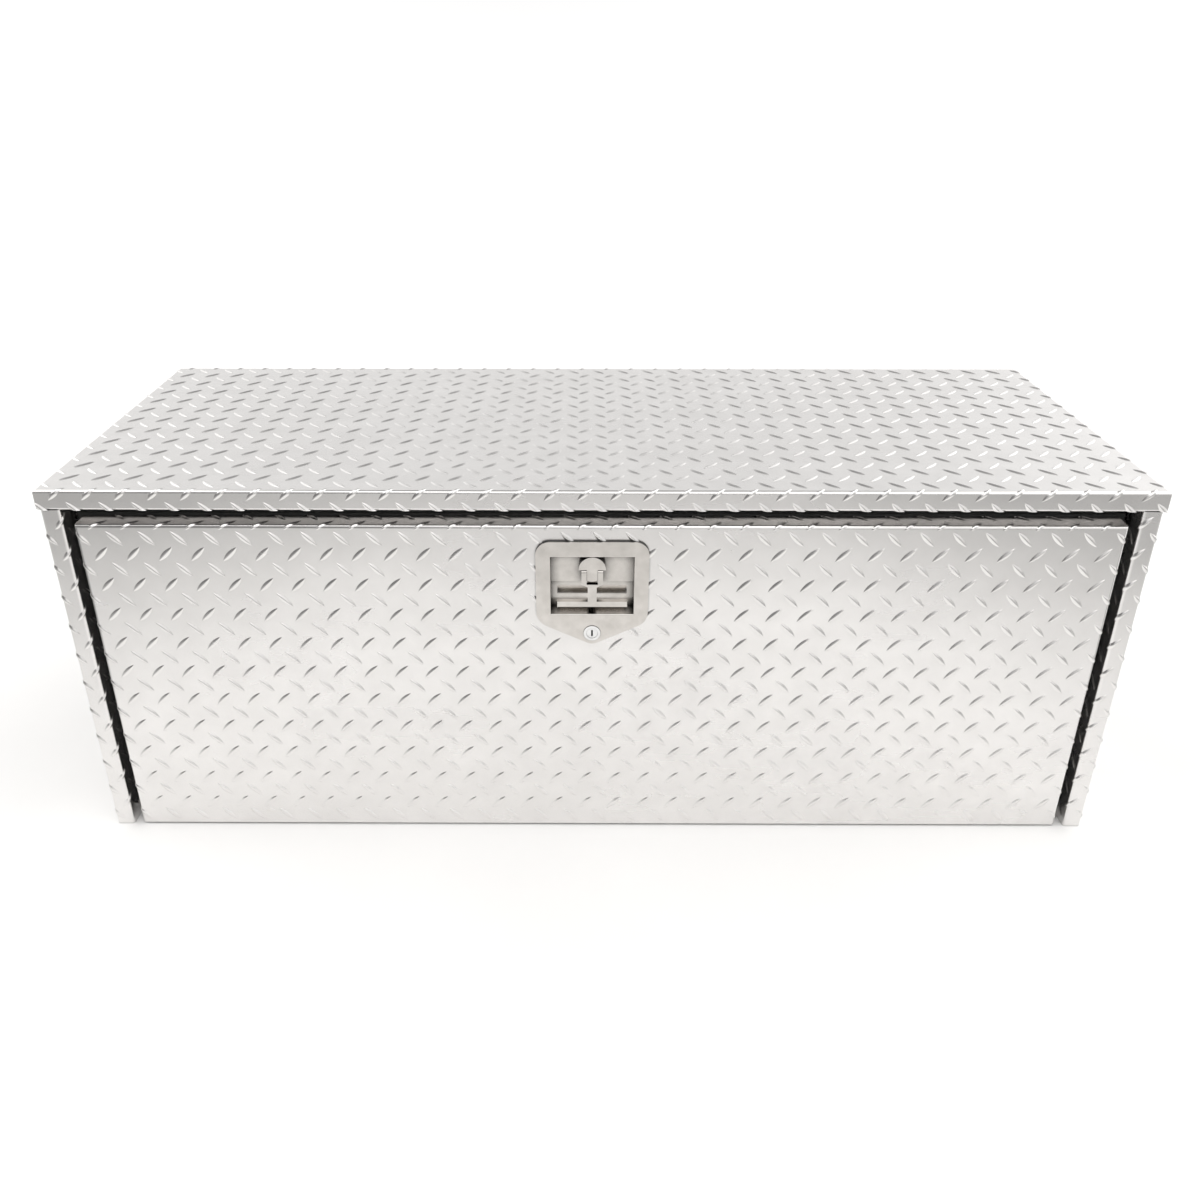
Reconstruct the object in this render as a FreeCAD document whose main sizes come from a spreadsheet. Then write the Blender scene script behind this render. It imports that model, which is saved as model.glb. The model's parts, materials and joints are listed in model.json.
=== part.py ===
"""Truck tool box: a folded tread plate box with a drop-down door and a flush T-handle latch.

Millimetres. X runs along the box, -Y is the door side, Z is up. The origin is in the middle of
the underside. Every size that can be set by itself is a cell of the sheet called Sizes, and the
shapes are bound to those cells.
"""
import FreeCAD, Part
import os
import re

import Sketcher

SIZES = {
    # the box
    "width": 1219.2,
    "depth": 457.2,
    "height": 457.2,
    "sheet": 3.2,
    "bend_radius": 4.8,
    "lip_height": 24.5,
    "lip_edge_radius": 3.0,
    "frame_width": 24.0,
    "jamb_depth": 42.0,
    "stop_width": 25.4,
    "top_stop": 32.0,
    "sill_height": 35.0,
    # the door
    "door_side_gap": 8.9,
    "door_top_gap": 16.5,
    "door_bottom_gap": 1.5,
    "door_flange": 27.0,
    "stiffener_place": 287.0,
    "stiffener_width": 24.0,
    "stiffener_foot": 16.0,
    "stiffener_height": 15.0,
    "stiffener_sheet": 1.6,
    "stiffener_end_gap": 6.0,
    # the seal
    "seal_width": 20.0,
    "top_seal_width": 16.0,
    "seal_cover": 2.5,
    "seal_clearance": 0.3,
    "seal_edge_gap": 0.4,
    "seal_edge_radius": 3.0,
    "seal_foot_gap": 14.0,
    # the hinge
    "pin_radius": 1.2,
    "knuckle_radius": 2.6,
    "running": 0.05,
    "leaf_thickness": 1.2,
    "door_leaf_width": 16.0,
    "body_leaf_width": 20.9,
    "leaf_gap": 0.3,
    "knuckle_gap": 0.4,
    "hinge_end_gap": 4.0,
    "floor_clearance": 0.3,
    "rail_width": 23.8,
    "rail_height": 22.3,
    "rail_thickness": 2.5,
    "rail_rivet_row": 5.0,
    "rivet_radius": 2.4,
    "rivet_head_radius": 4.4,
    "rivet_head_height": 1.1,
    # the stay tabs
    "tab_width": 22.0,
    "tab_length": 24.0,
    "tab_thickness": 2.5,
    "tab_hole_radius": 3.3,
    "body_tab_place": 330.0,
    "door_tab_place": 300.0,
    # the latch
    "latch_offset": -8.5,
    "plate_rim": 16.25,
    "latch_top": 60.0,
    "latch_shoulder": 160.0,
    "latch_tip": 189.7,
    "latch_corner": 16.0,
    "latch_shoulder_corner": 20.0,
    "latch_tip_corner": 13.0,
    "pan_sheet": 1.6,
    "gasket_thickness": 1.0,
    "recess_width": 92.7,
    "recess_top": 78.4,
    "recess_bottom": 149.8,
    "recess_depth": 10.0,
    "recess_corner": 5.0,
    "recess_rim": 1.2,
    "well_top": 113.0,
    "well_depth": 20.0,
    "panel_clearance": 0.5,
    "stud_radius": 2.5,
    "stud_length": 8.5,
    "stud_inset": 7.2,
    "stud_upper": 72.0,
    "stud_lower": 152.0,
    "nut_width": 8.0,
    "nut_height": 3.6,
    # the spindle
    "hub_drop": 94.0,
    "hub_radius": 15.0,
    "hub_recess": 1.0,
    "hub_floor_gap": 0.5,
    "shaft_radius": 6.0,
    "bushing_wall": 3.0,
    "bushing_length": 14.0,
    "bushing_flange": 4.0,
    "bushing_flange_height": 2.0,
    "square_width": 9.0,
    "dog_thickness": 3.0,
    "dog_place": 24.0,
    "dog_radius": 11.0,
    "dog_tail_width": 12.0,
    "dog_tail": 40.0,
    "cam_gap": 0.3,
    "cam_thickness": 4.0,
    "cam_radius": 12.0,
    "cam_arm_width": 18.0,
    "cam_arm": 49.5,
    "spacer_wall": 1.8,
    "spacer_clearance": 0.2,
    "washer_thickness": 1.5,
    "washer_radius": 10.0,
    "cam_nut_width": 13.0,
    "cam_nut_height": 6.5,
    "thread_radius": 4.0,
    "thread_end": 1.5,
    "strike_thickness": 2.5,
    "strike_width": 60.0,
    "strike_height": 26.0,
    # the T-handle
    "pivot_drop": 98.0,
    "pivot_place": 3.2,
    "pivot_radius": 1.5,
    "handle_thickness": 5.6,
    "lug_width": 12.0,
    "yoke_width": 24.0,
    "yoke_clearance": 0.25,
    "yoke_bottom": 116.0,
    "window_bottom": 112.5,
    "stem_width": 10.0,
    "bar_top": 134.0,
    "bar_bottom": 142.0,
    "bar_side_gap": 6.35,
    "bar_thickness": 6.4,
    "bar_edge_radius": 2.4,
    # the lock
    "lock_drop": 174.3,
    "lock_radius": 9.5,
    "lock_proud": 0.8,
    "plug_radius": 6.5,
    "plug_recess": 0.4,
    "keyway_width": 2.0,
    "keyway_height": 8.0,
    "keyway_depth": 6.0,
    "lock_nut_width": 26.0,
    "lock_nut_height": 4.0,
    "tongue_thickness": 3.0,
    "tongue_radius": 8.5,
    "tongue_width": 9.0,
    "tongue_length": 46.0,
    "screw_radius": 3.0,
    "screw_head_radius": 5.0,
    "screw_head_height": 2.4,
    "screw_length": 8.0,
}

KNUCKLE_COUNT = 22
HINGE_RIVETS = 10

DOC = FreeCAD.newDocument("truck_tool_box")
SHEET = DOC.addObject("Spreadsheet::Sheet", "Sizes")
for row, (alias, size) in enumerate(SIZES.items(), start=1):
    SHEET.set(f"A{row}", alias)
    SHEET.set(f"B{row}", str(size))
    SHEET.setAlias(f"B{row}", alias)
DOC.recompute()

ALIAS = re.compile(r"\b(" + "|".join(SIZES) + r")\b")
ROLL = {
    "X": FreeCAD.Rotation(FreeCAD.Vector(0, 1, 0), 90),
    "Y": FreeCAD.Rotation(FreeCAD.Vector(1, 0, 0), -90),
    "Z": FreeCAD.Rotation(),
}

# Places that several pieces share, each worked out from the sheet.
FRONT = "(-depth / 2)"
OPENING_HALF = "(width / 2 - sheet - frame_width)"
STOP_HALF = "(width / 2 - sheet - frame_width - stop_width)"
WALL_OUT = "(width / 2 - sheet)"
WALL_IN = "(width / 2 - 2 * sheet)"
LIP_BOTTOM = "(height - lip_height)"
UNDER_TOP = "(height - sheet)"
BACK_OUT = "(depth / 2 - sheet)"
BACK_IN = "(depth / 2 - 2 * sheet)"
DOOR_HALF = "(width / 2 - sheet - frame_width - door_side_gap)"
DOOR_TOP = "(height - lip_height - door_top_gap)"
SKIN_BACK = "(-depth / 2 + sheet)"
STOP_FRONT = "(-depth / 2 + jamb_depth - sheet)"
STOP_BACK = "(-depth / 2 + jamb_depth)"
HINGE_HALF = "(width / 2 - sheet - frame_width - stop_width - hinge_end_gap)"
LATCH_PROUD = "(gasket_thickness + pan_sheet + lock_proud)"
HINGE_Y = "(-depth / 2 + sheet + leaf_gap + knuckle_radius)"
HINGE_Z = f"(sheet + leaf_gap + knuckle_radius + {LATCH_PROUD} + floor_clearance)"
LEAF_UPPER = f"({HINGE_Z} + knuckle_radius)"
LEAF_UNDER = f"({HINGE_Z} + knuckle_radius - leaf_thickness)"
DOOR_LEAF_FOOT = f"({LEAF_UPPER} + knuckle_gap)"
RAIL_FOOT = f"({LEAF_UNDER} - rail_thickness)"
RAIL_FRONT = "(-depth / 2 + jamb_depth - sheet - rail_width)"
RAIL_RIVET_Y = f"({RAIL_FRONT} + rail_rivet_row)"
PLATE_HALF = "(recess_width / 2 + plate_rim)"
BAR_HALF = "(recess_width / 2 - bar_side_gap)"
PLATE_FRONT = "(-depth / 2 - gasket_thickness - pan_sheet)"
PLATE_BACK = "(-depth / 2 - gasket_thickness)"
RECESS_FLOOR = "(-depth / 2 - gasket_thickness - pan_sheet + recess_depth)"
WELL_FLOOR = "(-depth / 2 - gasket_thickness - pan_sheet + well_depth)"
HUB_Z = "(height - hub_drop)"
PIVOT_Z = "(height - pivot_drop)"
PIVOT_Y = f"({PLATE_FRONT} + pivot_place)"
HUB_FRONT = f"({PLATE_FRONT} + hub_recess)"
HUB_BACK = f"({RECESS_FLOOR} - hub_floor_gap)"
DOG_FRONT = "(-depth / 2 + dog_place)"
CAM_FRONT = f"({STOP_BACK} + strike_thickness + cam_gap)"
CAM_BACK = f"({CAM_FRONT} + cam_thickness)"
LOCK_Z = "(height - lock_drop)"


def bound(text):
    """The expression with each alias pointing at its cell."""
    return ALIAS.sub(r"Sizes.\1", str(text))


def value(text):
    """What an expression comes to now, in millimetres."""
    found = SHEET.evalExpression(bound(text))
    return float(getattr(found, "Value", found))


def box(low, high):
    """A block between two corners, each given as three expressions."""
    block = DOC.addObject("Part::Box", "block")
    for side, a, b in zip(("Length", "Width", "Height"), low, high):
        block.setExpression(side, bound(f"({b}) - ({a})"))
    for axis, a in zip("xyz", low):
        block.setExpression(f"Placement.Base.{axis}", bound(a))
    return block


def rod(start, axis, length, radius):
    """A round bar from a point along one axis."""
    bar = DOC.addObject("Part::Cylinder", "rod")
    bar.Placement = FreeCAD.Placement(FreeCAD.Vector(), ROLL[axis])
    bar.setExpression("Radius", bound(radius))
    bar.setExpression("Height", bound(length))
    for name, place in zip("xyz", start):
        bar.setExpression(f"Placement.Base.{name}", bound(place))
    return bar


def hexagon(start, length, across):
    """A hexagonal block along Y, given its width across the flats."""
    block = DOC.addObject("Part::Prism", "hexagon")
    block.Polygon = 6
    block.Placement = FreeCAD.Placement(FreeCAD.Vector(), ROLL["Y"])
    block.setExpression("Circumradius", bound(f"({across}) / sqrt(3)"))
    block.setExpression("Height", bound(length))
    for name, place in zip("xyz", start):
        block.setExpression(f"Placement.Base.{name}", bound(place))
    return block


def joined(pieces):
    """Pieces fused into one."""
    if len(pieces) == 1:
        return pieces[0]
    fused = DOC.addObject("Part::MultiFuse", "joined")
    fused.Shapes = pieces
    fused.Refine = True
    return fused


def cut(base, tools):
    """The base with every tool taken out of it."""
    result = DOC.addObject("Part::Cut", "cut")
    result.Base = base
    result.Tool = joined(tools)
    result.Refine = True
    return result


def group(pieces):
    """Separate solids kept in one object."""
    compound = DOC.addObject("Part::Compound", "group")
    compound.Links = pieces
    return compound


def plane_of(body, role):
    """The body's own origin plane of that role."""
    return next(f for f in body.Origin.OriginFeatures if f.Role == role)


def sketch_on(body, role, level):
    """An empty sketch on an origin plane, moved along that plane's normal."""
    sketch = body.newObject("Sketcher::SketchObject", "sketch")
    sketch.AttachmentSupport = (plane_of(body, role), [""])
    sketch.MapMode = "FlatFace"
    sketch.setExpression("AttachmentOffset.Base.z", bound(level))
    return sketch


def tie(sketch, place, point):
    """Ties one point of a sketch to its two expressions."""
    for kind, text in zip(("DistanceX", "DistanceY"), point):
        index = sketch.addConstraint(
            Sketcher.Constraint(kind, -1, 1, place[0], place[1], value(text))
        )
        sketch.setExpression(f"Constraints[{index}]", bound(text))


def draw_loop(sketch, points):
    """A closed loop of straight lines through points given as pairs of expressions."""
    spots = [FreeCAD.Vector(value(u), value(v), 0) for u, v in points]
    first = sketch.GeometryCount
    count = len(points)
    for i in range(count):
        sketch.addGeometry(Part.LineSegment(spots[i], spots[(i + 1) % count]), False)
    for i in range(count):
        following = first + (i + 1) % count
        sketch.addConstraint(Sketcher.Constraint("Coincident", first + i, 2, following, 1))
    for i in range(count):
        tie(sketch, (first + i, 1), points[i])


def draw_circle(sketch, centre, radius):
    """A circle round a point given as a pair of expressions."""
    middle = FreeCAD.Vector(value(centre[0]), value(centre[1]), 0)
    circle = Part.Circle(middle, FreeCAD.Vector(0, 0, 1), value(radius))
    index = sketch.addGeometry(circle, False)
    tie(sketch, (index, 3), centre)
    size = sketch.addConstraint(Sketcher.Constraint("Radius", index, value(radius)))
    sketch.setExpression(f"Constraints[{size}]", bound(radius))


def corners(low, high):
    """The four corners of an upright rectangle."""
    return [(low[0], low[1]), (high[0], low[1]), (high[0], high[1]), (low[0], high[1])]


def new_body(label):
    """An empty body that will become one sub-part."""
    body = DOC.addObject("PartDesign::Body", label)
    body.Label = label
    return body


def pad(body, sketch, length, backward=False):
    """Adds a sketch's outline times a length."""
    feature = body.newObject("PartDesign::Pad", "pad")
    feature.Profile = sketch
    feature.setExpression("Length", bound(length))
    feature.Reversed = backward
    DOC.recompute()
    return feature


def pocket(body, sketch, length, backward=False):
    """Takes away a sketch's outline times a length, and makes sure that it cut."""
    before = body.Shape.Volume
    feature = body.newObject("PartDesign::Pocket", "pocket")
    feature.Profile = sketch
    feature.setExpression("Length", bound(length))
    feature.Reversed = backward
    DOC.recompute()
    if not feature.Shape.Volume < before:
        raise ValueError(f"a pocket of {body.Label} cuts nothing")
    return feature


def line_edges(shape, axis, places):
    """Names of the straight edges along one axis that pass through any of the places."""
    others = [i for i in range(3) if i != axis]
    names = []
    for number, edge in enumerate(shape.Edges, start=1):
        if not isinstance(edge.Curve, Part.Line):
            continue
        ends = [edge.Vertexes[0].Point, edge.Vertexes[-1].Point]
        if abs(edge.tangentAt(edge.FirstParameter)[axis]) < 0.999:
            continue
        for place in places:
            wanted = [value(text) for text in place]
            if all(abs(ends[0][k] - spot) < 0.01 for k, spot in zip(others, wanted)):
                names.append(f"Edge{number}")
    return names


def round_edges(body, radius, axis_places):
    """Rounds straight edges of the body, given as (axis, places) pairs."""
    shape = body.Shape
    names = []
    for axis, places in axis_places:
        found = line_edges(shape, axis, places)
        if not found:
            raise ValueError(f"no edge to round on {body.Label}")
        names += found
    base = body.Tip
    feature = body.newObject("PartDesign::Fillet", "fillet")
    feature.Base = (base, names)
    feature.setExpression("Radius", bound(radius))
    DOC.recompute()
    return feature


def row_place(half, count, index):
    """The expression for one place of an even row along X."""
    return f"({half}) * {(2 * index + 1 - count) / count}"


def rivet(centre, axis, grip):
    """A rivet through a grip that starts at the centre and runs along the axis."""
    index = "XYZ".index(axis)
    below = list(centre)
    below[index] = f"({centre[index]}) - rivet_head_height"
    above = list(centre)
    above[index] = f"({centre[index]}) + ({grip})"
    shank = rod(centre, axis, grip, "rivet_radius")
    low_head = rod(below, axis, "rivet_head_height", "rivet_head_radius")
    high_head = rod(above, axis, "rivet_head_height", "rivet_head_radius")
    return joined([shank, low_head, high_head])


PIECES = []


def keep(piece, label):
    """Gives a finished sub-part its name."""
    piece.Label = label
    PIECES.append(piece)
    return piece


# ---------------------------------------------------------------- the box


def make_top_cover():
    """The top sheet with all four edges folded down."""
    body = new_body("top_cover")
    sketch = sketch_on(body, "XY_Plane", "height")
    draw_loop(sketch, corners(("-width / 2", FRONT), ("width / 2", "depth / 2")))
    pad(body, sketch, "lip_height", backward=True)
    top_edges = [
        (0, [(FRONT, "height"), ("depth / 2", "height")]),
        (1, [("-width / 2", "height"), ("width / 2", "height")]),
    ]
    round_edges(body, "bend_radius", top_edges)
    sketch = sketch_on(body, "XY_Plane", LIP_BOTTOM)
    draw_loop(sketch, corners((f"-{WALL_OUT}", SKIN_BACK), (WALL_OUT, BACK_OUT)))
    pocket(body, sketch, "lip_height - sheet", backward=True)
    round_edges(body, "min(lip_edge_radius; 0.95 * sheet)", [(0, [(FRONT, LIP_BOTTOM)])])
    return keep(body, "top_cover")


def make_top_stop():
    """An angle welded inside the front lip; its drop is the stop behind the top of the door."""
    body = new_body("door_top_stop")
    sketch = sketch_on(body, "XY_Plane", LIP_BOTTOM)
    draw_loop(sketch, corners((f"-{WALL_IN}", SKIN_BACK), (WALL_IN, STOP_BACK)))
    pad(body, sketch, "sheet")
    sketch = sketch_on(body, "XY_Plane", LIP_BOTTOM)
    draw_loop(sketch, corners((f"-{STOP_HALF}", STOP_FRONT), (STOP_HALF, STOP_BACK)))
    pad(body, sketch, "top_stop", backward=True)
    return keep(body, "door_top_stop")


def make_side_panel(label, side):
    """A side wall folded round the front into a frame, a jamb and a stop."""
    body = new_body(label)
    plan = [
        (WALL_OUT, BACK_OUT),
        (WALL_OUT, FRONT),
        (OPENING_HALF, FRONT),
        (OPENING_HALF, STOP_FRONT),
        (STOP_HALF, STOP_FRONT),
        (STOP_HALF, STOP_BACK),
        (f"{OPENING_HALF} + sheet", STOP_BACK),
        (f"{OPENING_HALF} + sheet", SKIN_BACK),
        (WALL_IN, SKIN_BACK),
        (WALL_IN, BACK_OUT),
    ]
    sketch = sketch_on(body, "XY_Plane", "0")
    draw_loop(sketch, [(f"{side} * ({u})", v) for u, v in plan])
    pad(body, sketch, LIP_BOTTOM)
    outer = [(WALL_OUT, FRONT), (OPENING_HALF, FRONT), (f"{OPENING_HALF} + sheet", STOP_BACK)]
    inner = [(WALL_IN, SKIN_BACK), (f"{OPENING_HALF} + sheet", SKIN_BACK), (OPENING_HALF, STOP_FRONT)]
    round_edges(body, "bend_radius", [(2, [(f"{side} * ({u})", v) for u, v in outer])])
    round_edges(body, "bend_radius - sheet", [(2, [(f"{side} * ({u})", v) for u, v in inner])])
    sketch = sketch_on(body, "XY_Plane", LIP_BOTTOM)
    low = (f"{side} * {WALL_IN}", f"{FRONT} + bend_radius")
    draw_loop(sketch, corners(low, (f"{side} * {WALL_OUT}", BACK_OUT)))
    pad(body, sketch, "lip_height - sheet")
    return keep(body, label)


def make_back_panel():
    """The flat back, standing between the side walls."""
    low = (f"-{WALL_IN}", BACK_IN, "0")
    return keep(box(low, (WALL_IN, BACK_OUT, UNDER_TOP)), "back_panel")


def make_floor_panel():
    """The floor with its front edge folded up into a sill that carries the hinge rail."""
    body = new_body("floor_panel")
    sketch = sketch_on(body, "XY_Plane", "0")
    draw_loop(sketch, corners((f"-{WALL_IN}", STOP_BACK), (WALL_IN, BACK_IN)))
    pad(body, sketch, "sheet")
    sketch = sketch_on(body, "XY_Plane", "0")
    draw_loop(sketch, corners((f"-{STOP_HALF}", STOP_FRONT), (STOP_HALF, STOP_BACK)))
    pad(body, sketch, "sill_height")
    return keep(body, "floor_panel")


def make_door_seal():
    """A rubber strip on the stops, up both sides and across the top."""
    body = new_body("door_seal")
    outer_half = f"({OPENING_HALF} - (bend_radius - sheet) - seal_edge_gap)"
    inner_half = f"({outer_half} - seal_width)"
    outer_top = f"({DOOR_TOP} + seal_cover)"
    inner_top = f"({outer_top} - top_seal_width)"
    points = [
        (f"-{outer_half}", "seal_foot_gap"),
        (f"-{inner_half}", "seal_foot_gap"),
        (f"-{inner_half}", inner_top),
        (inner_half, inner_top),
        (inner_half, "seal_foot_gap"),
        (outer_half, "seal_foot_gap"),
        (outer_half, outer_top),
        (f"-{outer_half}", outer_top),
    ]
    sketch = sketch_on(body, "XZ_Plane", f"-{STOP_FRONT}")
    draw_loop(sketch, points)
    pad(body, sketch, "jamb_depth - sheet - door_flange - seal_clearance")
    seal_front = f"{FRONT} + door_flange + seal_clearance"
    sides = [(f"{s}{half}", seal_front) for s in ("-", "") for half in (outer_half, inner_half)]
    across = [(seal_front, outer_top), (seal_front, inner_top)]
    round_edges(body, "seal_edge_radius", [(2, sides), (0, across)])
    return keep(body, "door_seal")


# ---------------------------------------------------------------- the hinge

def rail_holes(low, thickness):
    """The row of rivet holes through one of the two sheets on the rail."""
    holes = []
    for index in range(HINGE_RIVETS):
        spot = (row_place(HINGE_HALF, HINGE_RIVETS, index), RAIL_RIVET_Y, low)
        holes.append(rod(spot, "Z", thickness, "rivet_radius"))
    return holes


def make_hinge_rail():
    """An angle welded to the sill, whose flat leg carries the hinge."""
    flat = box(
        (f"-{HINGE_HALF}", RAIL_FRONT, RAIL_FOOT),
        (HINGE_HALF, STOP_FRONT, LEAF_UNDER),
    )
    upright = box(
        (f"-{HINGE_HALF}", f"{STOP_FRONT} - rail_thickness", RAIL_FOOT),
        (HINGE_HALF, STOP_FRONT, f"{RAIL_FOOT} + rail_height"),
    )
    holes = rail_holes(RAIL_FOOT, "rail_thickness")
    return keep(cut(joined([flat, upright]), holes), "hinge_rail")


def make_hinge_leaf(label, first, plate, tab_of, holes):
    """One leaf: a long plate, every second knuckle, and a bore for the pin."""
    pieces = [plate]
    for index in range(first, KNUCKLE_COUNT, 2):
        start = f"(-{HINGE_HALF} + {index} * 2 * {HINGE_HALF} / {KNUCKLE_COUNT} + knuckle_gap / 2)"
        length = f"(2 * {HINGE_HALF} / {KNUCKLE_COUNT} - knuckle_gap)"
        pieces.append(rod((start, HINGE_Y, HINGE_Z), "X", length, "knuckle_radius"))
        pieces.append(tab_of(start, f"{start} + {length}"))
    radius = "pin_radius + running" if first else "pin_radius"
    bore = rod((f"-{HINGE_HALF}", HINGE_Y, HINGE_Z), "X", f"2 * {HINGE_HALF}", radius)
    return keep(cut(joined(pieces), [bore] + holes), label)


def make_body_leaf():
    """The leaf that lies flat on the rail."""
    plate_front = f"({HINGE_Y} + knuckle_radius + knuckle_gap)"
    plate = box(
        (f"-{HINGE_HALF}", plate_front, LEAF_UNDER),
        (HINGE_HALF, f"{HINGE_Y} + body_leaf_width", LEAF_UPPER),
    )

    def tab(start, end):
        return box((start, HINGE_Y, LEAF_UNDER), (end, plate_front, LEAF_UPPER))

    holes = rail_holes(LEAF_UNDER, "leaf_thickness")
    return make_hinge_leaf("hinge_body_leaf", 0, plate, tab, holes)


def make_door_leaf():
    """The upright leaf welded to the back of the door skin."""
    leaf_back = f"({SKIN_BACK} + leaf_thickness)"
    plate = box(
        (f"-{HINGE_HALF}", SKIN_BACK, DOOR_LEAF_FOOT),
        (HINGE_HALF, leaf_back, f"{DOOR_LEAF_FOOT} + door_leaf_width"),
    )

    def tab(start, end):
        return box((start, SKIN_BACK, HINGE_Z), (end, leaf_back, DOOR_LEAF_FOOT))

    return make_hinge_leaf("hinge_door_leaf", 1, plate, tab, [])


def make_hinge_pin():
    """The pin through every knuckle."""
    pin = rod((f"-{HINGE_HALF}", HINGE_Y, HINGE_Z), "X", f"2 * {HINGE_HALF}", "pin_radius")
    return keep(pin, "hinge_pin")


def make_hinge_rivets():
    """The row of rivets that holds the body leaf down on the rail."""
    row = []
    for index in range(HINGE_RIVETS):
        spot = (row_place(HINGE_HALF, HINGE_RIVETS, index), RAIL_RIVET_Y, RAIL_FOOT)
        row.append(rivet(spot, "Z", "rail_thickness + leaf_thickness"))
    return keep(group(row), "hinge_body_rivets")


# ---------------------------------------------------------------- the door

PLATE_OUTLINE = [
    (f"latch_offset - {PLATE_HALF}", "height - latch_top"),
    (f"latch_offset + {PLATE_HALF}", "height - latch_top"),
    (f"latch_offset + {PLATE_HALF}", "height - latch_shoulder"),
    ("latch_offset", "height - latch_tip"),
    (f"latch_offset - {PLATE_HALF}", "height - latch_shoulder"),
]
STUD_PLACES = [
    (f"latch_offset + {side} * ({PLATE_HALF} - stud_inset)", f"height - {drop}")
    for drop in ("stud_upper", "stud_lower")
    for side in (-1, 1)
]


def tub_outline(extra, upper):
    """The recess seen from the front, grown by some clearance."""
    half = f"(recess_width / 2 + {extra})"
    low = (f"latch_offset - {half}", f"height - recess_bottom - ({extra})")
    high = (f"latch_offset + {half}", f"height - {upper} + ({extra})")
    return corners(low, high)


def make_door_skin():
    """A tread plate pan, flush with the frame, with openings for the latch and the lock."""
    body = new_body("door_skin")
    sketch = sketch_on(body, "XZ_Plane", f"-{FRONT}")
    draw_loop(sketch, corners((f"-{DOOR_HALF}", "door_bottom_gap"), (DOOR_HALF, DOOR_TOP)))
    pad(body, sketch, "door_flange", backward=True)
    bends = [
        (0, [(FRONT, DOOR_TOP)]),
        (2, [(f"-{DOOR_HALF}", FRONT), (DOOR_HALF, FRONT)]),
    ]
    round_edges(body, "bend_radius", bends)
    sketch = sketch_on(body, "XZ_Plane", f"-({SKIN_BACK})")
    low = (f"-{DOOR_HALF} + sheet", "door_bottom_gap + sheet")
    draw_loop(sketch, corners(low, (f"{DOOR_HALF} - sheet", f"{DOOR_TOP} - sheet")))
    pocket(body, sketch, "door_flange - sheet")
    sketch = sketch_on(body, "XZ_Plane", f"-({SKIN_BACK})")
    draw_loop(sketch, corners((f"-{DOOR_HALF}", "0"), (DOOR_HALF, "door_bottom_gap + sheet")))
    pocket(body, sketch, "door_flange - sheet")
    sketch = sketch_on(body, "XZ_Plane", f"-{FRONT}")
    draw_loop(sketch, tub_outline("pan_sheet + panel_clearance", "recess_top"))
    draw_circle(sketch, ("latch_offset", LOCK_Z), "lock_radius + panel_clearance")
    for place in STUD_PLACES:
        draw_circle(sketch, place, "stud_radius + panel_clearance / 2")
    pocket(body, sketch, "sheet")
    return keep(body, "door_skin")


def make_stiffener(label, side):
    """A hat channel standing behind the door skin."""
    body = new_body(label)
    half = "stiffener_width / 2"
    crown = f"{SKIN_BACK} + stiffener_height"
    foot_back = f"{SKIN_BACK} + stiffener_sheet"
    outside = [
        (f"-{half} - stiffener_foot", SKIN_BACK),
        (f"-{half} - stiffener_foot", foot_back),
        (f"-{half}", foot_back),
        (f"-{half}", crown),
        (half, crown),
        (half, foot_back),
        (f"{half} + stiffener_foot", foot_back),
        (f"{half} + stiffener_foot", SKIN_BACK),
        (f"{half} - stiffener_sheet", SKIN_BACK),
        (f"{half} - stiffener_sheet", f"{crown} - stiffener_sheet"),
        (f"-{half} + stiffener_sheet", f"{crown} - stiffener_sheet"),
        (f"-{half} + stiffener_sheet", SKIN_BACK),
    ]
    foot = f"({DOOR_LEAF_FOOT} + door_leaf_width + stiffener_end_gap)"
    sketch = sketch_on(body, "XY_Plane", foot)
    draw_loop(sketch, [(f"{side} * stiffener_place + {u}", v) for u, v in outside])
    pad(body, sketch, f"{DOOR_TOP} - sheet - {foot}")
    return keep(body, label)


# ---------------------------------------------------------------- the stay tabs


def make_body_tab(label, side):
    """A flat tab welded inside the jamb, reaching back past the stop, for one end of a door stay."""
    face = f"({OPENING_HALF} + sheet)"
    xs = sorted((f"{side} * {face}", f"{side} * ({face} + tab_thickness)"), key=value)
    low = "body_tab_place - tab_width / 2"
    tab_back = f"({STOP_BACK} + tab_length)"
    plate = box((xs[0], f"{STOP_FRONT} - tab_length", low), (xs[1], tab_back, f"{low} + tab_width"))
    centre = (xs[0], f"{STOP_BACK} + tab_length / 2", "body_tab_place")
    return keep(cut(plate, [rod(centre, "X", "tab_thickness", "tab_hole_radius")]), label)


def make_door_tab(label, side):
    """A small angle welded inside the door's side edge, for the other end of the stay."""
    face = f"({DOOR_HALF} - sheet)"
    inner = f"({face} - tab_thickness)"
    reach = f"({face} - tab_length)"
    low = "door_tab_place - tab_width / 2"
    shelf_top = f"({low} + tab_thickness)"
    start = f"({SKIN_BACK} + panel_clearance)"
    end = f"({SKIN_BACK} + tab_length - panel_clearance)"
    xs = sorted((f"{side} * {face}", f"{side} * {inner}"), key=value)
    foot = box((xs[0], start, low), (xs[1], end, f"{low} + tab_width"))
    us = sorted((f"{side} * {inner}", f"{side} * {reach}"), key=value)
    shelf = box((us[0], start, low), (us[1], end, shelf_top))
    centre = (f"{side} * ({inner} + {reach}) / 2", f"{SKIN_BACK} + tab_length / 2", low)
    hole = rod(centre, "Z", "tab_thickness", "tab_hole_radius")
    return keep(cut(joined([foot, shelf]), [hole]), label)


# ---------------------------------------------------------------- the latch


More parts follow.
